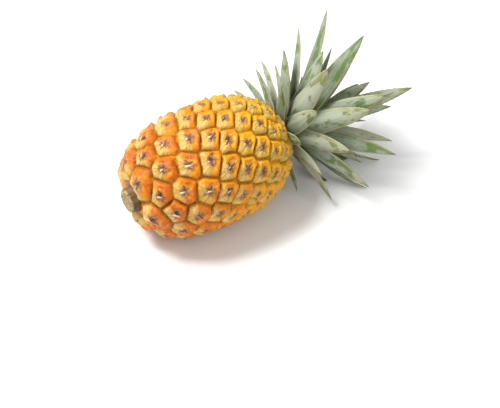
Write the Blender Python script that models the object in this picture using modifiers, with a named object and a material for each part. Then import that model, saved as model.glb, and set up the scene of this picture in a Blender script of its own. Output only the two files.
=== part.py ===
"""A whole pineapple with its crown, lying on its side.

The pieces are the fruit, the cut end of its stalk, the stem of the crown, and the crown's leaves.
Lengths are in metres and +Z is up. The fruit's axis lies along +X, towards the crown, and the origin
is in the middle of the flat that the fruit rests on.
"""

import math

import bmesh
import bpy
import numpy as np
from mathutils import Vector

OBJECT_NAME = "pineapple"
GAP = 0.0003                # left between pieces that touch
WELD = 0.00001              # points of a turned piece nearer than this are one

# The fruit: a barrel, whose outline is a squarish ellipse turned about the axis
HALF_LENGTH = 0.0817
RADIUS = 0.0590
AXIS_HEIGHT = 0.0565        # 2.5 mm under the radius, so the belly is pressed flat
ALONG_POWER = 2.74          # 2 is a plain ellipse, more is squarer
ACROSS_POWER = 2.43
CROWN_SWELL = 0.015         # the crown end is this much fuller than the middle
CROWN_SEAT = 0.0770         # x of the flat that carries the crown
CROWN_SEAT_RADIUS = 0.0220
BASE_SEAT = -0.0795         # x of the flat round the stalk
BASE_SEAT_RADIUS = 0.0180

# The eyes: one spiral of bosses, each turned by the same angle from the last
EYE_TURN = 137.79           # degrees
EYE_START = 4.7             # degrees, the eye at mid length, from +Y towards +Z
EYE_AREA = 0.000460         # m2 at mid length
EYE_SHRINK = 2.2            # per metre, eyes get smaller towards the crown
EYE_POLE_POWER = 0.2        # and smaller where the barrel narrows
GROOVE_DEPTH = 0.0022
EYE_SHOULDER = 0.0022       # width of the slope from the groove up to the boss
EYE_TOP_INSET = 0.0035
EYE_TOP_RISE = 0.0006
CORNER_EASE = 0.35          # keeps the short sides of an eye from shrinking to nothing
SWAP_PASSES = 3             # that even out which eyes are neighbours
OUTLINE_STEPS = 4000        # for adding up the area of the rind

# The stalk's cut end
STALK_RADIUS = 0.0120
STALK_LENGTH = 0.0090
STALK_EDGE = 0.0015
STALK_SIDES = 24

# The crown: leaf 0 is the lowest, and each next leaf is one golden angle round and a step higher
LEAF_COUNT = 52
GOLDEN_ANGLE = 137.508      # degrees
CROWN_START = 150           # degrees, where leaf 0 points, from +Y towards +Z
CROWN_BASE = 0.0786         # x of the lowest leaf's root
CROWN_RISE = 0.0310         # from the lowest leaf's root to the topmost
ROOT_RADIUS = 0.0135        # of the lowest leaf's root, on the crown's stem
HEART_RADIUS = 0.0030       # of the topmost leaf's root
CROWN_TILT_UP = 2.5         # degrees from the fruit's axis
CROWN_TILT_SIDE = -1.5
LEAF_THICKNESS = 0.0008
LEAF_ROOM = 0.0030          # between the foot of the crown's stem and the lowest roots
STEM_TIP_RADIUS = 0.0004
STEM_SIDES = 16

# How a leaf changes from the crown's foot to its heart, at equal steps
LEAF_LENGTHS = (0.045, 0.075, 0.100, 0.115, 0.105, 0.095)
LEAF_WIDTHS = (0.015, 0.027, 0.026, 0.021)
ROOT_LEANS = (82, 62, 42, 12)           # degrees away from the crown's axis, at the root
TIP_LEANS = (102, 72, 50, 20)           # and at the tip

# How a leaf bends and folds
LEAF_STATIONS = 9
LEAN_POWER = 1.3            # over 1, the bend grows towards the tip
CHANNEL = 0.1               # depth of the fold, as a share of the leaf's width
ROOT_SPREAD = 1.45          # a leaf is no wider than this many times its distance from the crown's axis
CLASP_RADIUS = 0.0090       # a leaf doesn't wrap round the stem tighter than this
ROOT_WIDTH = 0.75           # a leaf's width at its root, as a share of its greatest
ROOT_WIDENING = 0.9         # how fast it widens from there
TAPER_POWER = 2.6           # over 1, the taper to the tip starts later
TAPER_ROUNDING = 0.85       # under 1, the sides swell a little before the tip
TIP_WIDTH = 0.0010
PRESSED_BELOW = 0.0140      # leaves lower than this are pressed up by the surface
HANGS_TO = -0.0260          # the lowest that a leaf would hang
LEAF_CLEARANCE = 0.0018

# Leaves that grew apart from the rule, by number: turned, in degrees, and longer by a share
GROWN_ASIDE = {
    1: (-10, 0.35),
    4: (0, -0.65),
    6: (0, -0.10),
    9: (5, 0.20),
    14: (0, -0.15),
    19: (-5, -0.25),
    22: (0, -0.15),
    24: (0, -0.20),
    27: (5, -0.10),
    29: (-20, 0.05),
    31: (0, -0.35),
    32: (-12, 0.05),
    34: (-15, -0.10),
    35: (0, -0.45),
    37: (-10, -0.10),
    39: (5, -0.10),
    40: (-5, -0.15),
    42: (10, 0.15),
    44: (0, -0.20),
    45: (-10, -0.15),
    47: (0, -0.05),
    49: (0, -0.15),
    50: (0, -0.15),
}

# Colour and roughness of each material
RIND_LOOK = ((0.62, 0.27, 0.03), 0.45)
STALK_LOOK = ((0.42, 0.30, 0.16), 0.8)
CORE_LOOK = ((0.55, 0.52, 0.33), 0.7)
LEAF_LOOK = ((0.20, 0.27, 0.15), 0.45)


def outline(x):
    """Radius of the barrel at a place along its axis."""
    along = np.clip(np.abs(x) / HALF_LENGTH, 0, 1)
    return RADIUS * (1 - along ** ALONG_POWER) ** (1 / ACROSS_POWER) * (1 + CROWN_SWELL * x / HALF_LENGTH)


def ring_point(x, radius, angle):
    """A point at an angle round the fruit's axis, from +Y towards +Z."""
    return Vector((x, radius * math.cos(angle), AXIS_HEIGHT + radius * math.sin(angle)))


def eye_places():
    """Place along the axis and angle of each eye, where the area of rind passes one more eye's share."""
    edge = np.linspace(BASE_SEAT, CROWN_SEAT, OUTLINE_STEPS + 1)
    middle = (edge[1:] + edge[:-1]) / 2
    slope_length = np.hypot(np.diff(edge), np.diff(outline(edge)))
    eye_area = EYE_AREA * (1 - EYE_SHRINK * middle) ** 2 * (outline(middle) / RADIUS) ** EYE_POLE_POWER
    count = np.concatenate([[0], np.cumsum(2 * math.pi * outline(middle) * slope_length / eye_area)])
    count -= np.interp(0, edge, count)
    numbers = np.arange(math.ceil(count[0] + 1), math.floor(count[-1]))
    angles = np.radians(EYE_START - EYE_TURN * numbers)
    return list(zip(np.interp(numbers, count, edge), angles))


def rind_corner(triangle, seats):
    """The point in the grooves that is as far from each of three eyes, or on the edge of a seat."""
    for vert in triangle.verts:
        if vert in seats:
            x, radius = seats[vert]
            others = [eye.co for eye in triangle.verts if eye is not vert]
            between = (others[0] + others[1]) / 2
            return ring_point(x, radius, math.atan2(between.z - AXIS_HEIGHT, between.y))
    first, second, third = (eye.co for eye in triangle.verts)
    side = second - first
    other = third - first
    across = side.cross(other)
    reach = side.length_squared * other.cross(across) + other.length_squared * across.cross(side)
    centre = (first + reach / (2 * across.length_squared)).lerp(triangle.calc_center_median(), CORNER_EASE)
    angle = math.atan2(centre.z - AXIS_HEIGHT, centre.y)
    return ring_point(centre.x, float(outline(centre.x)) - GROOVE_DEPTH, angle)


def rind_cells():
    """A mesh with one face for each eye: the dual of the hull over the eyes' middles."""
    hull = bmesh.new()
    for x, angle in eye_places():
        hull.verts.new(ring_point(x, float(outline(x)), angle))
    seats = {
        hull.verts.new((CROWN_SEAT + EYE_SHOULDER, 0, AXIS_HEIGHT)): (CROWN_SEAT, CROWN_SEAT_RADIUS),
        hull.verts.new((BASE_SEAT - EYE_SHOULDER, 0, AXIS_HEIGHT)): (BASE_SEAT, BASE_SEAT_RADIUS),
    }
    bmesh.ops.convex_hull(hull, input=hull.verts)
    for _ in range(SWAP_PASSES):
        bmesh.ops.beautify_fill(hull, faces=hull.faces, edges=hull.edges, method="AREA")
    hull.normal_update()
    rind = bmesh.new()
    corners = {triangle: rind.verts.new(rind_corner(triangle, seats)) for triangle in hull.faces}
    eyes = []
    for middle in hull.verts:
        outward = middle.normal
        side = outward.orthogonal().normalized()
        up = outward.cross(side)
        around = sorted(
            middle.link_faces,
            key=lambda face: math.atan2(
                (face.calc_center_median() - middle.co).dot(up),
                (face.calc_center_median() - middle.co).dot(side),
            ),
        )
        cell = rind.faces.new([corners[triangle] for triangle in around])
        if middle not in seats:
            eyes.append(cell)
    hull.free()
    rind.normal_update()
    return rind, eyes


def build_fruit(material):
    """The fruit, with a raised boss for each eye and its belly cut flat."""
    rind, eyes = rind_cells()
    bmesh.ops.inset_individual(
        rind, faces=eyes, thickness=EYE_SHOULDER, depth=GROOVE_DEPTH, use_even_offset=False
    )
    bmesh.ops.inset_individual(
        rind, faces=eyes, thickness=EYE_TOP_INSET, depth=EYE_TOP_RISE, use_even_offset=False
    )
    everything = rind.verts[:] + rind.edges[:] + rind.faces[:]
    bmesh.ops.bisect_plane(rind, geom=everything, plane_co=(0, 0, 0), plane_no=(0, 0, 1), clear_inner=True)
    rim = [edge for edge in rind.edges if edge.is_boundary]
    bmesh.ops.triangle_fill(rind, use_beauty=True, edges=rim, normal=(0, 0, -1))
    bmesh.ops.recalc_face_normals(rind, faces=rind.faces)
    return add_piece("fruit", rind, material)


def turned(name, profile, sides, material):
    """A piece turned about the fruit's axis; the profile is (x, radius), with both ends on the axis."""
    bm = bmesh.new()
    points = [bm.verts.new((x, 0, AXIS_HEIGHT + radius)) for x, radius in profile]
    lines = [bm.edges.new(pair) for pair in zip(points, points[1:])]
    bmesh.ops.spin(
        bm, geom=points + lines, cent=(0, 0, AXIS_HEIGHT), axis=(1, 0, 0), angle=2 * math.pi,
        steps=sides, use_merge=True,
    )
    bmesh.ops.remove_doubles(bm, verts=bm.verts, dist=WELD)
    bmesh.ops.recalc_face_normals(bm, faces=bm.faces)
    return add_piece(name, bm, material)


def build_stalk(material):
    """The cut end of the stalk, a little wider where it leaves the fruit."""
    root = BASE_SEAT - GAP
    cut = BASE_SEAT - STALK_LENGTH
    profile = [
        (root, 0),
        (root, STALK_RADIUS + STALK_EDGE),
        (root - STALK_EDGE, STALK_RADIUS),
        (cut + STALK_EDGE, STALK_RADIUS),
        (cut, STALK_RADIUS - STALK_EDGE),
        (cut, 0),
    ]
    return turned("stalk_stub", profile, STALK_SIDES, material)


def build_crown_stem(material):
    """The stem inside the crown, which narrows as it gives off its leaves."""
    foot = CROWN_SEAT + GAP
    top = CROWN_BASE + CROWN_RISE - LEAF_THICKNESS
    profile = [
        (foot, 0),
        (foot, ROOT_RADIUS - LEAF_ROOM),
        (top, STEM_TIP_RADIUS),
        (top, 0),
    ]
    return turned("crown_stem", profile, STEM_SIDES, material)


def at_step(values, share):
    """The value at a share of the way through a list of equal steps."""
    return float(np.interp(share, np.linspace(0, 1, len(values)), values))


def above_surface(z):
    """Height of a leaf's point once the surface under the fruit has pressed the low leaves up."""
    if z >= PRESSED_BELOW:
        return z
    reach = PRESSED_BELOW - HANGS_TO
    rest = PRESSED_BELOW - LEAF_CLEARANCE
    share = max(z - HANGS_TO, 0) / reach
    return LEAF_CLEARANCE + rest * share ** (reach / rest)


def crown_point(x, radius, angle):
    """A point given about the crown's own axis, which leaves the fruit at a slight tilt."""
    up = math.radians(CROWN_TILT_UP)
    aside = math.radians(CROWN_TILT_SIDE)
    y = radius * math.cos(angle)
    z = radius * math.sin(angle)
    x, z = x * math.cos(up) - z * math.sin(up), x * math.sin(up) + z * math.cos(up)
    x, y = x * math.cos(aside) - y * math.sin(aside), x * math.sin(aside) + y * math.cos(aside)
    return Vector((x + CROWN_BASE, y, above_surface(z + AXIS_HEIGHT)))


def leaf_rows(number):
    """The points across one leaf, its two edges and its keel, from its root to its tip.

    Each leaf lies on a funnel of its own about the crown's axis, inside those of the leaves below it.
    """
    share = number / (LEAF_COUNT - 1)
    aside, longer = GROWN_ASIDE.get(number, (0, 0))
    bearing = math.radians(CROWN_START - GOLDEN_ANGLE * number + aside)
    step = at_step(LEAF_LENGTHS, share) * (1 + longer) / (LEAF_STATIONS - 1)
    root_lean = at_step(ROOT_LEANS, share)
    tip_lean = at_step(TIP_LEANS, share)
    x = CROWN_RISE * share
    radius = ROOT_RADIUS + (HEART_RADIUS - ROOT_RADIUS) * share
    rows = []
    last_lean = None
    for station in range(LEAF_STATIONS):
        along = station / (LEAF_STATIONS - 1)
        lean = math.radians(root_lean + (tip_lean - root_lean) * along ** LEAN_POWER)
        if last_lean is not None:
            x += step * math.cos((lean + last_lean) / 2)
            radius += step * math.sin((lean + last_lean) / 2)
        last_lean = lean
        taper = min(1, ROOT_WIDTH + ROOT_WIDENING * along) * (1 - along ** TAPER_POWER) ** TAPER_ROUNDING
        width = max(min(at_step(LEAF_WIDTHS, share) * taper, ROOT_SPREAD * radius), TIP_WIDTH)
        half_angle = width / 2 / max(radius, CLASP_RADIUS)
        fold = CHANNEL * width
        rows.append([
            crown_point(
                x + fold * depth * math.sin(lean),
                radius - fold * depth * math.cos(lean),
                bearing + side * half_angle,
            )
            for side, depth in ((-1, 1), (0, 0), (1, 1))
        ])
    return rows


def build_leaf(number, material):
    """One crown leaf: an open channelled blade, given its thickness by a Solidify modifier."""
    bm = bmesh.new()
    rows = [[bm.verts.new(point) for point in row] for row in leaf_rows(number)]
    for low, high in zip(rows, rows[1:]):
        for i in range(len(low) - 1):
            bm.faces.new((low[i], low[i + 1], high[i + 1], high[i]))
    leaf = add_piece(f"leaf_{number + 1:02d}", bm, material)
    solidify = leaf.modifiers.new("Thickness", "SOLIDIFY")
    solidify.thickness = LEAF_THICKNESS
    solidify.offset = 0
    solidify.use_even_offset = True
    return leaf


def plain_material(name, look):
    """A material of one colour and roughness."""
    colour, roughness = look
    material = bpy.data.materials.new(name)
    material.use_nodes = True
    shader = material.node_tree.nodes["Principled BSDF"]
    shader.inputs["Base Color"].default_value = (*colour, 1)
    shader.inputs["Roughness"].default_value = roughness
    shader.inputs["Metallic"].default_value = 0
    return material


def add_piece(name, bm, material):
    """Make the bmesh an object of its own in the pineapple's collection."""
    mesh = bpy.data.meshes.new(name)
    bm.to_mesh(mesh)
    bm.free()
    mesh.materials.append(material)
    piece = bpy.data.objects.new(name, mesh)
    bpy.data.collections[OBJECT_NAME].objects.link(piece)
    return piece


def main():
    """Empty the scene, then build every piece."""
    for old in list(bpy.data.objects):
        bpy.data.objects.remove(old)
    bpy.context.scene.collection.children.link(bpy.data.collections.new(OBJECT_NAME))
    build_fruit(plain_material("rind", RIND_LOOK))
    build_stalk(plain_material("cut_stalk", STALK_LOOK))
    build_crown_stem(plain_material("crown_core", CORE_LOOK))
    green = plain_material("leaf_green", LEAF_LOOK)
    for number in range(LEAF_COUNT):
        build_leaf(number, green)


main()
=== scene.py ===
import math

import bmesh
import bpy
import numpy as np
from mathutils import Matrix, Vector, noise


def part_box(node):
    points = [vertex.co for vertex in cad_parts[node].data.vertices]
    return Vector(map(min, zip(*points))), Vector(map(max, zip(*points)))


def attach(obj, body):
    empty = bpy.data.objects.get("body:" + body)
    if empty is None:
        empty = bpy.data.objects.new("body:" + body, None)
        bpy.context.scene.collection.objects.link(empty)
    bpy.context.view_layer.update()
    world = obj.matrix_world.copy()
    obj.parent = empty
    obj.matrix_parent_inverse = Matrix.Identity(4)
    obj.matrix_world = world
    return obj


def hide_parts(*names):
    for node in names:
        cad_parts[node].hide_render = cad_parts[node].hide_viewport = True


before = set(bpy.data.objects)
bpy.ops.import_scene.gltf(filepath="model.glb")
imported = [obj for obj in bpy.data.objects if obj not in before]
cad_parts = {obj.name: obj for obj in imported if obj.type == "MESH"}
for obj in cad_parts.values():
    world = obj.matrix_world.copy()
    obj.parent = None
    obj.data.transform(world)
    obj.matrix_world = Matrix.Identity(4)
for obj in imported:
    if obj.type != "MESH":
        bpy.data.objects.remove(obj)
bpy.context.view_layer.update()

# The fruit. It is one body grown from about 130 fused fruitlets, the eyes, which wind round it in
# spirals. Each eye is a waxy boss: a fibrous bract on the side of the stalk, fleshy orange lobes on
# the side of the crown, and a withered flower scar in the middle. Nothing is fixed on: it grew so.

GAP = 0.0003                # between the fruit and the pieces on its seats
HALF_LENGTH = 0.0817
RADIUS = 0.0590
ALONG_POWER = 2.74          # 2 is a plain ellipse, more is squarer
ACROSS_POWER = 2.43
CROWN_SWELL = 0.015
CROWN_SEAT_RADIUS = 0.0220
BASE_SEAT_RADIUS = 0.0180
EYE_TURN = 137.79           # degrees from each eye to the next
EYE_START = 4.7
EYE_AREA = 0.000460         # m2 at mid length
EYE_SHRINK = 2.2            # per metre, eyes get smaller towards the crown
EYE_POLE_POWER = 0.2        # and smaller where the barrel narrows
CORNER_EASE = 0.35          # keeps the short sides of an eye from shrinking to nothing
GROOVE_DEPTH = 0.0024
SEAT_OUT = 0.0022
SWAP_PASSES = 3             # that even out which eyes are neighbours
OUTLINE_STEPS = 4000        # for adding up the area of the rind
SIDE_STEPS = 7              # points along each side of an eye

# An eye's relief. Places and spreads are shares of the way from its middle out to its groove.
RINGS = (0.97, 0.93, 0.88, 0.82, 0.74, 0.65, 0.55, 0.45, 0.35, 0.26, 0.18, 0.10)
ROUNDING = 0.65             # how far the inner rings forget the groove's corners
SHOULDER = 0.77             # the boss is at its full height inside this
BOSS_VARIES = 0.12
DOME = 0.0012
RIM_RISE, RIM_PLACE, RIM_SPREAD = 0.0016, 0.72, 0.16
LOBE_COUNT, LOBE_RISE, LOBE_PLACE, LOBE_SPREAD = 3, 0.0010, 0.55, 0.24
BRACT_RISE = 0.0012
NAVEL_DEPTH, NAVEL_SPREAD = 0.0024, 0.17
HEART_OUTER, HEART_INNER = 0.62, 0.14
CREASE_HALF_COUNT, CREASE_DEPTH, CREASE_PLACE, CREASE_SPREAD = 2.5, 0.0016, 0.26, 0.16
WRINKLE = 0.00034
BRACT_PLEATS = 17
EYE_PLEATS, PLEAT_TWIST = 9, 23
FACING_VARIES = 0.18        # radians, how unevenly the eyes face the crown
UNEVENNESS = 0.0011         # how far the whole rind wanders from the rule
UNEVEN_SCALE = 95           # per metre
KNOBS = 0.0009
KNOB_SCALE = 420
SEAT_NEAR = 0.074           # past this, towards either seat, the rind keeps to the rule
RIND_SEED = 5
ONE_PLACE = 7               # decimals to which points of neighbouring eyes are the same

stalk_low, stalk_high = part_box("stalk_stub")
stem_low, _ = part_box("crown_stem")
AXIS_HEIGHT = (stalk_low.z + stalk_high.z) / 2
BASE_SEAT = stalk_high.x + GAP
CROWN_SEAT = stem_low.x - GAP


def outline(x):
    """Radius of the barrel at a place along its axis."""
    along = np.clip(np.abs(x) / HALF_LENGTH, 0, 1)
    return RADIUS * (1 - along ** ALONG_POWER) ** (1 / ACROSS_POWER) * (1 + CROWN_SWELL * x / HALF_LENGTH)


def ring_point(x, radius, angle):
    """A point at an angle round the fruit's axis, from +Y towards +Z."""
    return Vector((x, radius * math.cos(angle), AXIS_HEIGHT + radius * math.sin(angle)))


def eye_places():
    """Place along the axis and angle of each eye, where the area of rind passes one more eye's share."""
    edge = np.linspace(BASE_SEAT, CROWN_SEAT, OUTLINE_STEPS + 1)
    middle = (edge[1:] + edge[:-1]) / 2
    slope_length = np.hypot(np.diff(edge), np.diff(outline(edge)))
    eye_area = EYE_AREA * (1 - EYE_SHRINK * middle) ** 2 * (outline(middle) / RADIUS) ** EYE_POLE_POWER
    count = np.concatenate([[0], np.cumsum(2 * math.pi * outline(middle) * slope_length / eye_area)])
    count -= np.interp(0, edge, count)
    numbers = np.arange(math.ceil(count[0] + 1), math.floor(count[-1]))
    angles = np.radians(EYE_START - EYE_TURN * numbers)
    return list(zip(np.interp(numbers, count, edge), angles))


def groove_point(point):
    """The point of the grooves' floor that is straight in from a point near the rind."""
    angle = math.atan2(point.z - AXIS_HEIGHT, point.y)
    return ring_point(point.x, float(outline(point.x)) - GROOVE_DEPTH, angle)


def rind_corner(triangle, seats):
    """The point in the grooves that is as far from each of three eyes, or on the edge of a seat."""
    for vert in triangle.verts:
        if vert in seats:
            x, radius = seats[vert]
            others = [eye.co for eye in triangle.verts if eye is not vert]
            between = (others[0] + others[1]) / 2
            return ring_point(x, radius, math.atan2(between.z - AXIS_HEIGHT, between.y))
    first, second, third = (eye.co for eye in triangle.verts)
    side = second - first
    other = third - first
    across = side.cross(other)
    reach = side.length_squared * other.cross(across) + other.length_squared * across.cross(side)
    centre = (first + reach / (2 * across.length_squared)).lerp(triangle.calc_center_median(), CORNER_EASE)
    return groove_point(centre)


def eye_loops():
    """For each eye and then each seat: its outward direction, its groove's points, and if it is a seat."""
    hull = bmesh.new()
    for x, angle in eye_places():
        hull.verts.new(ring_point(x, float(outline(x)), angle))
    seats = {
        hull.verts.new((CROWN_SEAT + SEAT_OUT, 0, AXIS_HEIGHT)): (CROWN_SEAT, CROWN_SEAT_RADIUS),
        hull.verts.new((BASE_SEAT - SEAT_OUT, 0, AXIS_HEIGHT)): (BASE_SEAT, BASE_SEAT_RADIUS),
    }
    bmesh.ops.convex_hull(hull, input=hull.verts)
    for _ in range(SWAP_PASSES):
        bmesh.ops.beautify_fill(hull, faces=hull.faces, edges=hull.edges, method="AREA")
    hull.normal_update()
    corners = {triangle: rind_corner(triangle, seats) for triangle in hull.faces}
    touches_seat = {triangle: any(vert in seats for vert in triangle.verts) for triangle in hull.faces}
    sides = {}
    for edge in hull.edges:
        start, end = edge.link_faces
        points = [corners[start].lerp(corners[end], step / SIDE_STEPS) for step in range(SIDE_STEPS + 1)]
        if not (touches_seat[start] or touches_seat[end]):
            points[1:-1] = [groove_point(point) for point in points[1:-1]]
        sides[start, end] = points
        sides[end, start] = points[::-1]
    loops = []
    for middle in hull.verts:
        outward = middle.normal
        side = outward.orthogonal().normalized()
        up = outward.cross(side)
        around = sorted(
            middle.link_faces,
            key=lambda face: math.atan2(
                (face.calc_center_median() - middle.co).dot(up),
                (face.calc_center_median() - middle.co).dot(side),
            ),
        )
        loop = []
        for start, end in zip(around, around[1:] + around[:1]):
            loop += sides[start, end][:-1]
        loops.append((outward.copy(), [tuple(point) for point in loop], middle in seats))
    hull.free()
    return loops


def smooth_step(low, high, value):
    """0 below low, 1 above high, and eased between; low may be the greater."""
    share = np.clip((value - low) / (high - low), 0, 1)
    return share * share * (3 - 2 * share)


def eye_frame(outward, loop):
    """An eye's middle, its directions out, towards the crown and aside, and the bearings of its loop."""
    normal = np.array(outward)
    crownward = np.array((1.0, 0, 0)) - normal[0] * normal
    crownward /= np.linalg.norm(crownward)
    aside = np.cross(normal, crownward)
    centre = loop.mean(axis=0)
    spread = loop - centre
    turn = np.arctan2(spread @ aside, spread @ crownward)
    return centre, normal, crownward, aside, turn


def hump(ring, place, spread):
    """1 on the ring at a place, falling smoothly to 0 a spread or two away from it."""
    return math.exp(-((ring - place) / spread) ** 2)


def eye_relief(ring, turn, draw):
    """Height of an eye above its groove, and what its skin is there, at a share of the way out."""
    faces, pleat_start, crease_start, taller = draw
    crown_side = (1 + np.cos(turn - faces)) / 2
    stalk_side = 1 - crown_side
    inside = smooth_step(1.0, SHOULDER, ring)
    bract = smooth_step(0.45, 0.85, stalk_side) * smooth_step(1.0, 0.90, ring) * smooth_step(0.08, 0.30, ring)
    rim = hump(ring, RIM_PLACE, RIM_SPREAD) * smooth_step(0.15, 0.75, crown_side)
    lobes = np.cos(LOBE_COUNT * (turn - faces)) * hump(ring, LOBE_PLACE, LOBE_SPREAD)
    heart = smooth_step(HEART_OUTER, HEART_INNER, ring)
    crease = (1 - np.abs(np.sin(CREASE_HALF_COUNT * turn + crease_start))) ** 3
    crease = crease * hump(ring, CREASE_PLACE, CREASE_SPREAD)
    pleats = np.sin(BRACT_PLEATS * turn + 5 * pleat_start) * bract
    pleats = pleats + np.sin(EYE_PLEATS * turn + PLEAT_TWIST * ring)
    height = GROOVE_DEPTH * inside * (1 + BOSS_VARIES * taller) + DOME * (1 - ring ** 2)
    height = height + RIM_RISE * rim + LOBE_RISE * lobes * inside
    height = height + BRACT_RISE * bract * (1 - ring) - NAVEL_DEPTH * hump(ring, 0, NAVEL_SPREAD)
    height = height - CREASE_DEPTH * crease + WRINKLE * inside * pleats
    return height, inside, bract, rim, heart, crease


rind_draws = np.random.default_rng(RIND_SEED)
noise.seed_set(RIND_SEED)   # without it noise_vector starts somewhere else on each run
rind_points = []
rind_index = {}
rind_faces = []
rind_skin = []              # for each point: boss, bract, rim, heart, crease, tone
rind_rays = []
eyes = []                   # what the bracts and flowers of later sections stand on


def rind_point(point, skin, ray, shared=False):
    """Add a point of the rind, once where neighbours share it, and give its number."""
    key = tuple(round(value, ONE_PLACE) for value in point)
    if shared and key in rind_index:
        return rind_index[key]
    boss = skin[0]
    knob = noise.noise(Vector(point) * KNOB_SCALE) * KNOBS * boss
    axial = Vector((0, point[1], point[2] - AXIS_HEIGHT)).normalized()
    moved = Vector(point)
    if abs(point[0]) <= SEAT_NEAR:
        moved += noise.noise_vector(moved * UNEVEN_SCALE) * UNEVENNESS
    moved += axial * knob
    rind_points.append((moved.x, moved.y, max(moved.z, 0.0)))
    rind_skin.append(skin)
    rind_rays.append(ray)
    if shared:
        rind_index[key] = len(rind_points) - 1
    return len(rind_points) - 1


for outward, loop, is_seat in eye_loops():
    loop = np.array(loop)
    centre, normal, crownward, aside, turn = eye_frame(outward, loop)
    tone = rind_draws.uniform(0, 1)
    draw = (
        rind_draws.normal(0, FACING_VARIES),
        rind_draws.uniform(0, 6),
        rind_draws.uniform(0, 6),
        rind_draws.uniform(-1, 1),
    )
    spread = loop - centre
    flat = spread - np.outer(spread @ normal, normal)
    reach = np.linalg.norm(flat, axis=1)
    size = reach.mean()
    sink = spread @ normal
    swell = 0 if is_seat else float(np.linalg.norm(np.array(groove_point(Vector(centre))) - centre))
    rays = [(math.cos(angle), math.sin(angle), 7 * tone) for angle in turn]
    last = [
        rind_point(point, (0, 0, 0, 0, 0, tone), ray, shared=True)
        for point, ray in zip(loop, rays)
    ]
    count = len(last)
    for ring in RINGS:
        roundness = ROUNDING * (1 - ring)
        distance = ring * (reach * (1 - roundness) + size * roundness)
        floor = sink * ring ** 2 + swell * (1 - ring ** 2)
        relief = (0, 0, 0, 0, 0, 0) if is_seat else eye_relief(ring, turn, draw)
        height, inside, bract, rim, heart, crease = (np.broadcast_to(value, (count,)) for value in relief)
        places = centre + flat / reach[:, None] * distance[:, None] + np.outer(floor + height, normal)
        now = [
            rind_point(places[i], (inside[i], bract[i], rim[i], heart[i], crease[i], tone), rays[i])
            for i in range(count)
        ]
        for i in range(count):
            rind_faces.append((last[i], last[(i + 1) % count], now[(i + 1) % count], now[i]))
        last = now
    hub_height = 0 if is_seat else GROOVE_DEPTH + DOME - NAVEL_DEPTH
    hub = centre + normal * (swell + hub_height)
    hub_skin = (0, 0, 0, 0, 0, tone) if is_seat else (1, 0, 0, 1, 0.5, tone)
    hub_number = rind_point(hub, hub_skin, (0, 0, 7 * tone))
    for i in range(count):
        rind_faces.append((last[i], last[(i + 1) % count], hub_number))
    if not is_seat:
        eyes.append((hub, normal, crownward, aside, size))

rind_mesh = bpy.data.meshes.new("fruit_rind")
rind_mesh.from_pydata([tuple(point) for point in rind_points], [], rind_faces)
rind_mesh.update()
for column, name in enumerate(("boss", "bract", "rim", "heart", "crease", "tone")):
    layer = rind_mesh.attributes.new(name, "FLOAT", "POINT")
    layer.data.foreach_set("value", np.array([skin[column] for skin in rind_skin], np.float32))
ray_layer = rind_mesh.attributes.new("ray", "FLOAT_VECTOR", "POINT")
ray_layer.data.foreach_set("vector", np.array(rind_rays, np.float32).ravel())
rind_mesh.shade_smooth()
fruit_rind = bpy.data.objects.new("fruit_rind", rind_mesh)
bpy.context.scene.collection.objects.link(fruit_rind)


class Shade:
    """A value on its way through a material. Arithmetic on it adds Math nodes."""

    def __init__(self, tree, socket=None):
        self.tree = tree
        self.socket = socket

    def node(self, kind, settings=None, sockets=None, output=0):
        """Any other node: its settings first, then the values or links of its sockets."""
        made = self.tree.nodes.new("ShaderNode" + kind)
        for name, value in (settings or {}).items():
            setattr(made, name, value)
        for name, value in (sockets or {}).items():
            if isinstance(value, Shade):
                self.tree.links.new(value.socket, made.inputs[name])
            else:
                made.inputs[name].default_value = value
        return Shade(self.tree, made.outputs[output])

    def maths(self, operation, first, second):
        return self.node("Math", {"operation": operation}, {0: first, 1: second})

    def __add__(self, other):
        return self.maths("ADD", self, other)

    __radd__ = __add__

    def __sub__(self, other):
        return self.maths("SUBTRACT", self, other)

    def __rsub__(self, other):
        return self.maths("SUBTRACT", other, self)

    def __mul__(self, other):
        return self.maths("MULTIPLY", self, other)

    __rmul__ = __mul__

    def eased(self, low, high):
        """0 below low, 1 above high and smooth between."""
        sockets = {"Value": self, "From Min": low, "From Max": high}
        return self.node("MapRange", {"interpolation_type": "SMOOTHSTEP"}, sockets)

    def mix(self, first, second):
        """The first colour where this is 0 and the second where it is 1."""
        return self.node("Mix", {"data_type": "RGBA"}, {0: self, 6: first, 7: second}, 2)

    def attribute(self, name, output="Fac"):
        return self.node("Attribute", {"attribute_name": name}, {}, output)

    def noise(self, place, scale, detail=4.0, stretch=(1, 1, 1)):
        placed = self.node("Mapping", {}, {"Vector": place, "Scale": stretch})
        return self.node("TexNoise", {}, {"Vector": placed, "Scale": scale, "Detail": detail})

    def place(self):
        return self.node("TexCoord", {}, {}, "Object")


def new_material(name, roughness, bump_strength, bump_distance):
    """A material with a bump of its own: its shader, its bump and the start of its nodes."""
    material = bpy.data.materials.new(name)
    material.use_nodes = True
    tree = material.node_tree
    shader = tree.nodes["Principled BSDF"]
    shader.inputs["Roughness"].default_value = roughness
    bump = tree.nodes.new("ShaderNodeBump")
    bump.inputs["Strength"].default_value = bump_strength
    bump.inputs["Distance"].default_value = bump_distance
    tree.links.new(bump.outputs["Normal"], shader.inputs["Normal"])
    return material, shader, bump, Shade(tree)


def wire(shade, node, socket):
    shade.tree.links.new(shade.socket, node.inputs[socket])


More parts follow.
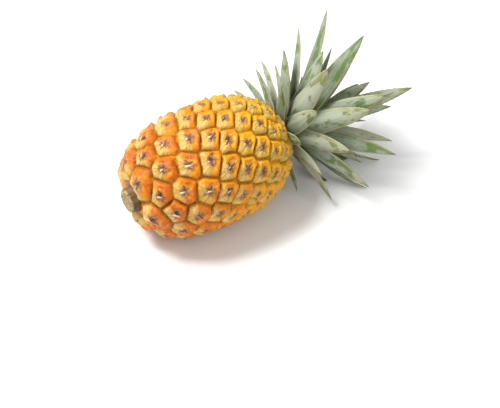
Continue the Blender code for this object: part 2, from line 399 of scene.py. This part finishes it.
GROOVE_BROWN = (0.29, 0.075, 0.004, 1)
GROOVE_OLIVE = (0.34, 0.185, 0.005, 1)
GOLD = (0.80, 0.335, 0.004, 1)
ORANGE = (0.74, 0.190, 0.002, 1)
RUST = (0.50, 0.072, 0.003, 1)
LEMON = (0.82, 0.47, 0.008, 1)
BRACT_CREAM = (0.84, 0.56, 0.21, 1)
BRACT_KHAKI = (0.56, 0.35, 0.035, 1)
BRACT_GREEN = (0.36, 0.29, 0.028, 1)
SCAR_PINK = (0.56, 0.28, 0.15, 1)
# dark brown of the scar's streaks and the specks, also used as painted shade in the creases
SCAR_SPECK_AND_CREASE_SHADE_BROWN = (0.055, 0.015, 0.008, 1)
# pale colour of the painted highlights on the rind
PAINTED_HIGHLIGHT_PALE = (0.90, 0.66, 0.30, 1)

rind, rind_shader, rind_bump, start = new_material("rind_wax", 0.40, 0.9, 0.0012)
place = start.place()
ray = start.attribute("ray", "Vector")
boss = start.attribute("boss")
bract = start.attribute("bract")
rim = start.attribute("rim")
heart = start.attribute("heart")
crease = start.attribute("crease")
tone = start.attribute("tone")
axis = start.node("SeparateXYZ", {}, {0: place}, "X")
to_crown = axis.eased(-0.070, 0.075)
cloud = start.noise(place, 60, 4)
blotch = start.noise(place, 170, 5)
grain = start.noise(place, 520, 6)
fine = start.noise(place, 1700, 4)
streak = start.noise(ray, 5.0, 4)
hair = start.noise(ray, 19, 3)
redness = rim * 0.45 + (1 - to_crown) * 0.50 + tone * 0.25 + blotch * 1.1 + cloud * 0.5
redness = (redness - 1.02).eased(0.0, 0.75)
flesh = redness.mix(GOLD, ORANGE)
rusty = (blotch + (1 - to_crown) * 0.34 + rim * 0.16 + (grain - 0.5) * 0.5).eased(0.76, 1.08)
flesh = (rusty * 0.8).mix(flesh, RUST)
lemony = (to_crown * 0.50 + (1 - rim) * 0.15 + cloud * 0.5 + grain * 0.4 - 0.35).eased(0.25, 0.85)
flesh = (lemony * 0.6).mix(flesh, LEMON)
bract_skin = (streak * 1.3 + cloud * 0.4 - 0.2).eased(0.42, 0.95).mix(BRACT_CREAM, BRACT_KHAKI)
bract_skin = ((to_crown + blotch - 0.35).eased(0.5, 1.2) * 0.45).mix(bract_skin, BRACT_GREEN)
bract_skin = (hair.eased(0.52, 0.68) * 0.65).mix(bract_skin, GROOVE_OLIVE)
fibrous = (bract * 0.95 + (streak - 0.5) * 1.8 + (blotch - 0.5) * 1.5).eased(0.0, 1.05)
skin = fibrous.mix(flesh, bract_skin)
scar = (heart * (1.45 - to_crown * 0.35) + (streak - 0.5) * 1.8 + (blotch - 0.5) * 1.2).eased(0.22, 1.0)
skin = (scar * 0.85).mix(skin, SCAR_PINK)
# partly painted shade: the creases of each eye are darkened as if shade lay in them, on top of the scar's own
# dark streaks
dark = heart * hair.eased(0.44, 0.62) * 1.05 + crease * 0.60 + (streak - 0.5) * heart * 1.5
dark = dark.eased(0.25, 0.85)
skin = (dark * 0.82).mix(skin, SCAR_SPECK_AND_CREASE_SHADE_BROWN)
speckle = (fine + (grain - 0.5) * 0.8).eased(0.62, 0.74)
skin = (speckle * 0.55).mix(skin, SCAR_SPECK_AND_CREASE_SHADE_BROWN)
# painted highlight: scattered pale spots on the rind stand in for glints of light on its wax
painted_highlight = (fine + grain * 0.5 + rim * 0.1).eased(0.92, 1.08)
skin = (painted_highlight * 0.35).mix(skin, PAINTED_HIGHLIGHT_PALE)
groove = (to_crown * 0.8 + blotch * 0.5 - 0.1).eased(0.1, 0.9).mix(GROOVE_BROWN, GROOVE_OLIVE)
groove = ((cloud + grain * 0.5).eased(0.72, 0.95) * 0.7).mix(groove, GOLD)
depth = (boss * 1.1 + (blotch - 0.5) * 1.2 + (grain - 0.5) * 0.5).eased(-0.05, 0.90)
wire(depth.mix(groove, skin), rind_shader, "Base Color")
wire(0.20 + grain * 0.20 + scar * 0.30 + fibrous * 0.10, rind_shader, "Roughness")
relief = grain * 0.5 + fine * 0.15 + blotch * 1.2 + hair * fibrous * 0.5 + streak * scar * 1.2
wire(relief, rind_bump, "Height")
rind_shader.inputs["Specular IOR Level"].default_value = 0.22
rind_shader.inputs["Subsurface Weight"].default_value = 0.10
rind_shader.inputs["Subsurface Radius"].default_value = (0.004, 0.002, 0.0005)
rind_mesh.materials.append(rind)
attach(fruit_rind, "root")
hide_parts("fruit")

# The bract tips. Each eye's bract ends in a dry papery point that lies over the flower scar, long
# and lifted near the stalk and worn short towards the crown. They are part of the rind.

BRACT_LENGTH = 0.0056
BRACT_WIDTH = 0.0031
BRACT_THICKNESS = 0.0003
BRACT_STEPS = 7
BRACT_SET_BACK = 0.34       # of the eye's size, from its middle towards the stalk
NARROWEST = 0.0001          # for any blade
LOWEST = 0.0003             # a blade's middle line stays this far above the surface
LONG_BEFORE, SHORT_AFTER = -0.06, 0.02
BRACT_PALE = (0.80, 0.53, 0.30, 1)
BRACT_BROWN = (0.20, 0.075, 0.035, 1)
bract_draws = np.random.default_rng(11)


def add_blade(bm, layer, path, widths, sideways, thickness, up):
    """A thin closed blade along a path, with a diamond section."""
    last = None
    for step, (point, width) in enumerate(zip(path, widths)):
        share = step / (len(path) - 1)
        ring = [
            bm.verts.new(point + sideways * width / 2),
            bm.verts.new(point + up * thickness / 2),
            bm.verts.new(point - sideways * width / 2),
            bm.verts.new(point - up * thickness / 2),
        ]
        for vert in ring:
            vert[layer] = share
            vert.co.z = max(vert.co.z, 0.0)
        if last:
            for i in range(4):
                bm.faces.new((last[i], last[(i + 1) % 4], ring[(i + 1) % 4], ring[i]))
        else:
            bm.faces.new(ring[::-1])
        last = ring
    bm.faces.new(last)


def finish_growth(name, bm, material):
    """Make grown blades into one piece of the fruit."""
    bmesh.ops.recalc_face_normals(bm, faces=bm.faces)
    mesh = bpy.data.meshes.new(name)
    bm.to_mesh(mesh)
    bm.free()
    mesh.shade_smooth()
    mesh.materials.append(material)
    piece = bpy.data.objects.new(name, mesh)
    bpy.context.scene.collection.objects.link(piece)
    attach(piece, "root")


bract_bm = bmesh.new()
bract_layer = bract_bm.verts.layers.float.new("along")
for hub, normal, crownward, aside, size in eyes:
    near_stalk = float(smooth_step(SHORT_AFTER, LONG_BEFORE, hub[0]))
    length = BRACT_LENGTH * (0.7 + 1.0 * near_stalk) * bract_draws.uniform(0.6, 1.3)
    lift = 0.22 + 0.60 * near_stalk * bract_draws.uniform(0.3, 1)
    swerve = bract_draws.normal(0, 0.25)
    root = hub - crownward * (BRACT_SET_BACK * size) + normal * (NAVEL_DEPTH * 0.80)
    heading = crownward * math.cos(swerve) + aside * math.sin(swerve)
    sideways = np.cross(normal, heading)
    if root[2] - length < 0.001:        # it would be pressed flat by the surface
        lift = 0.05
    path, widths = [], []
    for step in range(BRACT_STEPS):
        share = step / (BRACT_STEPS - 1)
        rise = normal * length * lift * share * (1.2 - 0.5 * share)
        point = Vector(root + heading * length * share + rise)
        point.z = max(point.z, LOWEST)
        path.append(point)
        widths.append(max(BRACT_WIDTH * (1 - share) ** 0.8, NARROWEST))
    add_blade(bract_bm, bract_layer, path, widths, Vector(sideways), BRACT_THICKNESS, Vector(normal))
paper, paper_shader, paper_bump, start = new_material("bract_paper", 0.7, 0.4, 0.0003)
share = start.attribute("along")
specks = start.noise(start.place(), 900, 4)
wire((share * 0.6 + specks * 0.7).eased(0.45, 0.95).mix(BRACT_PALE, BRACT_BROWN), paper_shader, "Base Color")
wire(0.55 + specks * 0.3, paper_shader, "Roughness")
wire(specks, paper_bump, "Height")
finish_growth("bract_tips", bract_bm, paper)

# The dried flowers. In the middle of each eye a withered flower is left as a tuft of three or four
# dark, curled threads. They stand in the scar that they grew from.

THREAD_LENGTH = 0.0046
THREAD_WIDTH = 0.0005
THREAD_THICKNESS = 0.7      # of its width
THREAD_STEPS = 5
THREAD_BROWN = (0.10, 0.040, 0.022, 1)
THREAD_TAN = (0.34, 0.19, 0.10, 1)
thread_bm = bmesh.new()
thread_layer = thread_bm.verts.layers.float.new("along")
for hub, normal, crownward, aside, _ in eyes:
    near_stalk = float(smooth_step(SHORT_AFTER, LONG_BEFORE, hub[0]))
    for _ in range(bract_draws.integers(3, 5)):
        bearing = bract_draws.uniform(0, 2 * math.pi)
        heading = crownward * math.cos(bearing) + aside * math.sin(bearing)
        length = THREAD_LENGTH * (0.6 + 0.7 * near_stalk) * bract_draws.uniform(0.6, 1.1)
        sideways = Vector(np.cross(normal, heading))
        path, widths = [], []
        for step in range(THREAD_STEPS):
            share = step / (THREAD_STEPS - 1)
            out = heading * (0.0004 + length * 0.55 * share)
            point = Vector(hub + (out + normal * length * (0.75 * share - 0.3 * share ** 2)))
            point.z = max(point.z, LOWEST)
            path.append(point)
            widths.append(max(THREAD_WIDTH * (1 - 0.8 * share), NARROWEST))
        thickness = THREAD_WIDTH * THREAD_THICKNESS
        add_blade(thread_bm, thread_layer, path, widths, sideways, thickness, Vector(heading))
withered, withered_shader, withered_bump, start = new_material("withered_flower", 0.8, 0.3, 0.0002)
share = start.attribute("along")
specks = start.noise(start.place(), 1200, 3)
faded = (share * 0.7 + specks * 0.5).eased(0.4, 1.0)
wire(faded.mix(THREAD_BROWN, THREAD_TAN), withered_shader, "Base Color")
wire(0.65 + specks * 0.25, withered_shader, "Roughness")
wire(specks, withered_bump, "Height")
finish_growth("dried_flowers", thread_bm, withered)

# The stalk's cut end. The fruit was cut from its plant through the stalk, a tough bundle of fibres
# under a brown skin. The cut face has dried: it is pale, ringed and a little hollow in the middle.

STALK_SIDES = 72
STALK_EDGE = 0.0015
HOLLOW = 0.0009             # depth of the cut face's dish
PITH_HOLLOW = 0.0012        # and of its middle
CUT_RINGS = (0.9, 0.75, 0.6, 0.45, 0.3, 0.15)
stalk_radius = (stalk_high.z - stalk_low.z) / 2 - STALK_EDGE
stalk_root, stalk_cut = stalk_high.x, stalk_low.x
stalk_profile = [
    (stalk_root, 0.0),
    (stalk_root, stalk_radius + STALK_EDGE),
    (stalk_root - STALK_EDGE, stalk_radius + 0.0003),
    (stalk_root - 2.5 * STALK_EDGE, stalk_radius),
    (stalk_cut + 2 * STALK_EDGE, stalk_radius),
    (stalk_cut + STALK_EDGE, stalk_radius - 0.0001),
    (stalk_cut + 0.4 * STALK_EDGE, stalk_radius - 0.35 * STALK_EDGE),
    (stalk_cut, stalk_radius - STALK_EDGE),
]
for share in CUT_RINGS:
    stalk_profile.append((stalk_cut + HOLLOW * (1 - share ** 2), (stalk_radius - STALK_EDGE) * share))
stalk_points = [(stalk_root, 0.0, AXIS_HEIGHT)]
stalk_faces = []
for x, radius in stalk_profile[1:]:
    for i in range(STALK_SIDES):
        angle = 2 * math.pi * i / STALK_SIDES
        fibre = 0.00018 * math.sin(18 * angle) + 0.00012 * math.sin(31 * angle + 1) - 0.0003
        ragged = 0.0002 * math.sin(13 * angle + 900 * radius) + 0.0002 if x < stalk_cut + 0.001 else 0
        stalk_points.append(tuple(ring_point(x + ragged, radius + fibre * min(1, radius / 0.006), angle)))
stalk_points.append((stalk_cut + PITH_HOLLOW, 0.0, AXIS_HEIGHT))
rows = len(stalk_profile) - 1
for i in range(STALK_SIDES):
    following = (i + 1) % STALK_SIDES
    stalk_faces.append((0, 1 + i, 1 + following))
    for row in range(rows - 1):
        low, high = 1 + row * STALK_SIDES, 1 + (row + 1) * STALK_SIDES
        stalk_faces.append((low + i, high + i, high + following, low + following))
    low = 1 + (rows - 1) * STALK_SIDES
    stalk_faces.append((low + i, len(stalk_points) - 1, low + following))
stalk_mesh = bpy.data.meshes.new("stalk_end")
stalk_mesh.from_pydata(stalk_points, [], stalk_faces)
stalk_mesh.update()
stalk_mesh.shade_smooth()
stalk_end = bpy.data.objects.new("stalk_end", stalk_mesh)
bpy.context.scene.collection.objects.link(stalk_end)

STALK_TAN = (0.46, 0.33, 0.17, 1)
STALK_SKIN = (0.20, 0.13, 0.05, 1)
STALK_STAIN = (0.11, 0.065, 0.03, 1)
stalk_fibre, stalk_shader, stalk_bump, start = new_material("stalk_fibre", 0.8, 0.6, 0.0006)
place = start.place()
depth_in = start.node("SeparateXYZ", {}, {0: place}, "X")
ends = start.noise(place, 700, 5, (0.15, 1, 1))
lines = start.noise(place, 260, 4, (0.10, 1, 1))
cut_face = 1 - depth_in.eased(stalk_cut + 0.0013, stalk_cut + 0.0024)
side_skin = (lines * 1.3).eased(0.45, 0.80).mix(STALK_SKIN, STALK_STAIN)
cut_skin = ends.eased(0.45, 0.62).mix(STALK_TAN, STALK_STAIN)
wire(cut_face.mix(side_skin, cut_skin), stalk_shader, "Base Color")
wire(0.65 + ends * 0.25, stalk_shader, "Roughness")
wire(ends + lines, stalk_bump, "Height")
stalk_mesh.materials.append(stalk_fibre)
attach(stalk_end, "root")
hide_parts("stalk_stub")

# The stem of the crown. It is a short, pale, fibrous core that goes on from the fruit's own, and
# each crown leaf is attached round it. Only glimpses of it show between the leaves' roots.

STEM_PALE = (0.50, 0.50, 0.26, 1)
STEM_BROWN = (0.20, 0.13, 0.05, 1)
core, core_shader, core_bump, start = new_material("stem_core", 0.7, 0.5, 0.0005)
lines = start.noise(start.place(), 300, 4, (0.15, 1, 1))
wire(lines.eased(0.40, 0.70).mix(STEM_PALE, STEM_BROWN), core_shader, "Base Color")
wire(0.60 + lines * 0.25, core_shader, "Roughness")
wire(lines, core_bump, "Height")
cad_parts["crown_stem"].material_slots[0].material = core

# The crown's leaves. Fifty-two stiff, channelled blades are set round the stem, each one golden angle
# on from the last: short and folded back at the foot, longest half way, upright in the heart. Their
# green skin has a silvery bloom outside, rubbed off in places, and a thin, pale, faintly toothed edge.

LEAF_COUNT = 52
GOLDEN_ANGLE = 137.508      # degrees
CROWN_START = 150           # degrees, where leaf 0 points, from +Y towards +Z
CROWN_BASE = 0.0786         # x of the lowest leaf's root
CROWN_RISE = 0.0310         # from there to the topmost leaf's root
ROOT_RADIUS = 0.0135
HEART_RADIUS = 0.0030
CROWN_TILT_UP = 2.5         # degrees from the fruit's axis
CROWN_TILT_SIDE = -1.5
LEAF_LENGTHS = (0.045, 0.075, 0.100, 0.115, 0.105, 0.095)   # from the crown's foot to its heart
LEAF_WIDTHS = (0.015, 0.027, 0.026, 0.021)
ROOT_LEANS = (82, 62, 42, 12)
TIP_LEANS = (102, 72, 50, 20)
LEAN_POWER = 1.3
CHANNEL = 0.1
CHANNEL_POWER = 1.6         # over 1, the channel's bottom is round
ROOT_SPREAD = 1.45
CLASP_RADIUS = 0.0090
ROOT_WIDTH = 0.75
ROOT_WIDENING = 0.9
TAPER_POWER = 2.6
TAPER_ROUNDING = 0.85
TIP_WIDTH = 0.0006
PRESSED_BELOW = 0.0140      # leaves lower than this are pressed up by the surface
HANGS_TO = -0.0260          # the lowest that a leaf would hang
LEAF_CLEARANCE = 0.0018
KEEL_THICKNESS = 0.0014
EDGE_THICKNESS = 0.0003
RIPPLE = 0.0004
RIB_HEIGHT = 0.00010
RIBBED_WIDTH = 0.01         # the ribs fade where a leaf is narrower than this
TOOTH = 0.0004
STATIONS = 44
ACROSS = 6                  # points from the keel to each edge

# Leaves that grew apart from the rule, by number: turned, in degrees, and longer by a share
GROWN_ASIDE = {
    1: (-10, 0.35),
    4: (0, -0.65),
    6: (0, -0.10),
    9: (5, 0.20),
    14: (0, -0.15),
    19: (-5, -0.25),
    22: (0, -0.15),
    24: (0, -0.20),
    27: (5, -0.10),
    29: (-20, 0.05),
    31: (0, -0.35),
    32: (-12, 0.05),
    34: (-15, -0.10),
    35: (0, -0.45),
    37: (-10, -0.10),
    39: (5, -0.10),
    40: (-5, -0.15),
    42: (10, 0.15),
    44: (0, -0.20),
    45: (-10, -0.15),
    47: (0, -0.05),
    49: (0, -0.15),
    50: (0, -0.15),
}
leaf_draws = np.random.default_rng(3)


def at_step(values, share):
    """The value at a share of the way through a list of equal steps."""
    return float(np.interp(share, np.linspace(0, 1, len(values)), values))


def above_surface(z):
    """Height of a leaf's point once the surface under the fruit has pressed the low leaves up."""
    if z >= PRESSED_BELOW:
        return z
    reach = PRESSED_BELOW - HANGS_TO
    rest = PRESSED_BELOW - LEAF_CLEARANCE
    share = max(z - HANGS_TO, 0) / reach
    return LEAF_CLEARANCE + rest * share ** (reach / rest)


def crown_point(x, radius, angle):
    """A point given about the crown's own axis, which leaves the fruit at a slight tilt."""
    up = math.radians(CROWN_TILT_UP)
    aside = math.radians(CROWN_TILT_SIDE)
    y = radius * math.cos(angle)
    z = radius * math.sin(angle)
    x, z = x * math.cos(up) - z * math.sin(up), x * math.sin(up) + z * math.cos(up)
    x, y = x * math.cos(aside) - y * math.sin(aside), x * math.sin(aside) + y * math.cos(aside)
    return (x + CROWN_BASE, y, above_surface(z + AXIS_HEIGHT))


def leaf_section(x, radius, lean, bearing, width, station, wave):
    """The closed loop of points round one leaf, with its place across and which face it is on."""
    along = station / (STATIONS - 1)
    half_angle = width / 2 / max(radius, CLASP_RADIUS)
    fold = CHANNEL * width
    tooth = TOOTH * smooth_step(0.45, 0.75, along) * (station % 2) * smooth_step(1.0, 0.93, along)
    loop = []
    for face in (1, -1):
        order = range(-ACROSS, ACROSS) if face == 1 else range(ACROSS, -ACROSS, -1)
        for step in order:
            side = step / ACROSS
            thick = EDGE_THICKNESS + (KEEL_THICKNESS - EDGE_THICKNESS) * (1 - abs(side) ** 1.5)
            thick *= float(smooth_step(1.0, 0.85, along)) * 0.8 + 0.2
            lift = face * thick / 2 if abs(step) < ACROSS else 0
            edge = abs(side) ** 3 * width / LEAF_WIDTHS[1]
            lift += RIPPLE * edge * math.sin(19 * along + 3 * side + wave)
            lift += RIB_HEIGHT * math.sin(9 * side * math.pi) * min(1, width / RIBBED_WIDTH)
            depth = abs(side) ** CHANNEL_POWER
            spread = half_angle * side
            if abs(step) == ACROSS:
                spread += tooth * side / max(radius, CLASP_RADIUS)
            loop.append((
                crown_point(
                    x + fold * depth * math.sin(lean) - lift * math.sin(lean),
                    radius - fold * depth * math.cos(lean) + lift * math.cos(lean),
                    bearing + spread,
                ),
                side,
                face if abs(step) < ACROSS else 0,
            ))
    return loop


SILVER = (0.48, 0.525, 0.405, 1)
SILVER_DARK = (0.105, 0.138, 0.072, 1)
LEAF_GREEN = (0.055, 0.115, 0.016, 1)
INNER_GREEN = (0.20, 0.275, 0.105, 1)
FRESH_GREEN = (0.125, 0.225, 0.020, 1)
OLIVE_DRY = (0.27, 0.225, 0.095, 1)
LEAF_EDGE = (0.50, 0.47, 0.25, 1)
EDGE_LINE = (0.075, 0.11, 0.035, 1)
LEAF_TIP = (0.17, 0.130, 0.060, 1)
ROOT_SHADE = (0.070, 0.105, 0.030, 1)
leaf_skin, leaf_shader, leaf_bump, start = new_material("leaf_skin", 0.45, 0.35, 0.0005)
place = start.place()
leaf_place = start.attribute("leaf_place", "Vector")
along = start.attribute("along")
across = start.attribute("across")
outer = start.attribute("outer")
tone = start.attribute("leaf_tone")
ridges = start.noise(leaf_place, 1.0, 3, (3, 46, 1))
fibres = start.noise(leaf_place, 1.0, 3, (9, 130, 1))
patches = start.noise(leaf_place, 1.0, 5, (5.5, 2.6, 1))
bloom = start.noise(place, 60, 4)
width_share = across * across
silver = (bloom * 0.6 + ridges * 1.0 + tone * 0.55 + along * 0.35 - 0.80).eased(0.0, 0.85)
silver = silver.mix(SILVER_DARK, SILVER)
inner = (ridges * 0.9 + tone * 0.5 + bloom * 0.5 + along * 0.3 - 0.75).eased(0.0, 0.8)
inner = inner.mix(LEAF_GREEN, INNER_GREEN)
skin = outer.eased(0.35, 0.65).mix(inner, silver)
rubbed = (patches + (along - 0.5) * 0.22 + (fibres - 0.5) * 0.25 - 0.01).eased(0.54, 0.61)
skin = (rubbed * 0.80).mix(skin, bloom.mix(LEAF_GREEN, FRESH_GREEN))
skin = ((1 - along.eased(0.05, 0.50)) * 0.80).mix(skin, ROOT_SHADE)
dry = (along * 0.5 + tone * 0.5 + bloom * 0.5 + width_share * 0.25 - 0.40).eased(0.45, 0.95)
skin = (dry * 0.55).mix(skin, OLIVE_DRY)
skin = (fibres.eased(0.50, 0.70) * 0.22).mix(skin, LEAF_GREEN)
skin = (width_share.eased(0.66, 0.86) * 0.70).mix(skin, LEAF_EDGE)
skin = (width_share.eased(0.90, 1.0) * 0.55).mix(skin, EDGE_LINE)
skin = (along + (fibres - 0.5) * 0.06).eased(0.945, 0.99).mix(skin, LEAF_TIP)
wire(skin, leaf_shader, "Base Color")
wire(0.40 + ridges * 0.18 + rubbed * -0.08, leaf_shader, "Roughness")
wire(ridges + fibres * 0.5, leaf_bump, "Height")
leaf_shader.inputs["Specular IOR Level"].default_value = 0.30

for number in range(LEAF_COUNT):
    share = number / (LEAF_COUNT - 1)
    aside, longer = GROWN_ASIDE.get(number, (0, 0))
    bearing = math.radians(CROWN_START - GOLDEN_ANGLE * number + aside)
    step = at_step(LEAF_LENGTHS, share) * (1 + longer) / (STATIONS - 1)
    root_lean = at_step(ROOT_LEANS, share)
    tip_lean = at_step(TIP_LEANS, share)
    x = CROWN_RISE * share
    radius = ROOT_RADIUS + (HEART_RADIUS - ROOT_RADIUS) * share
    wave = leaf_draws.uniform(0, 6)
    leaf_tone = leaf_draws.uniform(0, 1)
    points, faces, facts = [], [], []
    last_lean = None
    for station in range(STATIONS):
        along_leaf = station / (STATIONS - 1)
        lean = math.radians(root_lean + (tip_lean - root_lean) * along_leaf ** LEAN_POWER)
        if last_lean is not None:
            x += step * math.cos((lean + last_lean) / 2)
            radius += step * math.sin((lean + last_lean) / 2)
        last_lean = lean
        taper = min(1, ROOT_WIDTH + ROOT_WIDENING * along_leaf)
        taper *= (1 - along_leaf ** TAPER_POWER) ** TAPER_ROUNDING
        width = max(min(at_step(LEAF_WIDTHS, share) * taper, ROOT_SPREAD * radius), TIP_WIDTH)
        for point, side, face in leaf_section(x, radius, lean, bearing, width, station, wave):
            points.append(point)
            facts.append((along_leaf, side, (1 + face) / 2))
    around = 4 * ACROSS
    for station in range(STATIONS - 1):
        for i in range(around):
            low, high = station * around, (station + 1) * around
            following = (i + 1) % around
            faces.append((low + i, low + following, high + following, high + i))
    faces.append(tuple(range(around))[::-1])
    faces.append(tuple(range((STATIONS - 1) * around, STATIONS * around)))
    mesh = bpy.data.meshes.new(f"blade_{number + 1:02d}")
    mesh.from_pydata(points, [], faces)
    mesh.update()
    for column, name in enumerate(("along", "across", "outer")):
        layer = mesh.attributes.new(name, "FLOAT", "POINT")
        layer.data.foreach_set("value", np.array([fact[column] for fact in facts], np.float32))
    layer = mesh.attributes.new("leaf_tone", "FLOAT", "POINT")
    layer.data.foreach_set("value", np.full(len(points), leaf_tone, np.float32))
    layer = mesh.attributes.new("leaf_place", "FLOAT_VECTOR", "POINT")
    placed = [(length, side * 0.5, 10 * leaf_tone + outer_face * 3) for length, side, outer_face in facts]
    layer.data.foreach_set("vector", np.array(placed, np.float32).ravel())
    mesh.shade_smooth()
    mesh.materials.append(leaf_skin)
    blade = bpy.data.objects.new(f"blade_{number + 1:02d}", mesh)
    bpy.context.scene.collection.objects.link(blade)
    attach(blade, "root")
    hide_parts(f"leaf_{number + 1:02d}")

# The studio. A plain pale sweep that the fruit lies on, one large soft light above and behind, a
# weaker one in front, and pale light from all round. None of it is part of the pineapple.

FLOOR_HALF = 4.0
FLOOR_WHITE = (0.86, 0.86, 0.86, 1)
floor_mesh = bpy.data.meshes.new("floor")
corners = [(-1, -1), (1, -1), (1, 1), (-1, 1)]
floor_mesh.from_pydata([(FLOOR_HALF * x, FLOOR_HALF * y, 0) for x, y in corners], [], [(0, 1, 2, 3)])
floor = bpy.data.objects.new("floor", floor_mesh)
bpy.context.scene.collection.objects.link(floor)
floor_paint, floor_shader, floor_bump, start = new_material("floor_paint", 0.9, 0.02, 0.0005)
wire(start.noise(start.place(), 30, 3), floor_bump, "Height")
floor_shader.inputs["Base Color"].default_value = FLOOR_WHITE
floor_shader.inputs["Specular IOR Level"].default_value = 0.1
floor_mesh.materials.append(floor_paint)

WORLD_STRENGTH = 0.62
world = bpy.data.worlds.new("studio")
world.use_nodes = True
world.node_tree.nodes["Background"].inputs["Color"].default_value = (1, 1, 1, 1)
world.node_tree.nodes["Background"].inputs["Strength"].default_value = WORLD_STRENGTH
bpy.context.scene.world = world


def soft_light(name, place, size, power):
    """A square lamp that faces the middle of the fruit."""
    lamp = bpy.data.lights.new(name, "AREA")
    lamp.size = size
    lamp.energy = power
    light = bpy.data.objects.new(name, lamp)
    light.location = place
    light.rotation_euler = (Vector((0, 0, AXIS_HEIGHT)) - Vector(place)).to_track_quat("-Z", "Y").to_euler()
    bpy.context.scene.collection.objects.link(light)


soft_light("key", (-0.5, 0.4, 1.3), 0.5, 25)
soft_light("front", (0.5, -1.2, 0.9), 1.0, 5)

CAMERA_PLACE = (-0.43376, -0.72527, 0.84872)
CAMERA_TURN = (45, 0, -33.75)       # degrees
CAMERA_LENS = 86.4                  # millimetres
SENSOR_WIDTH = 36
camera_data = bpy.data.cameras.new("camera")
camera_data.lens = CAMERA_LENS
camera_data.sensor_width = SENSOR_WIDTH
camera = bpy.data.objects.new("camera", camera_data)
camera.location = CAMERA_PLACE
camera.rotation_euler = [math.radians(turned) for turned in CAMERA_TURN]
bpy.context.scene.collection.objects.link(camera)
bpy.context.scene.camera = camera
bpy.context.scene.view_settings.view_transform = "Standard"

bpy.context.view_layer.update()
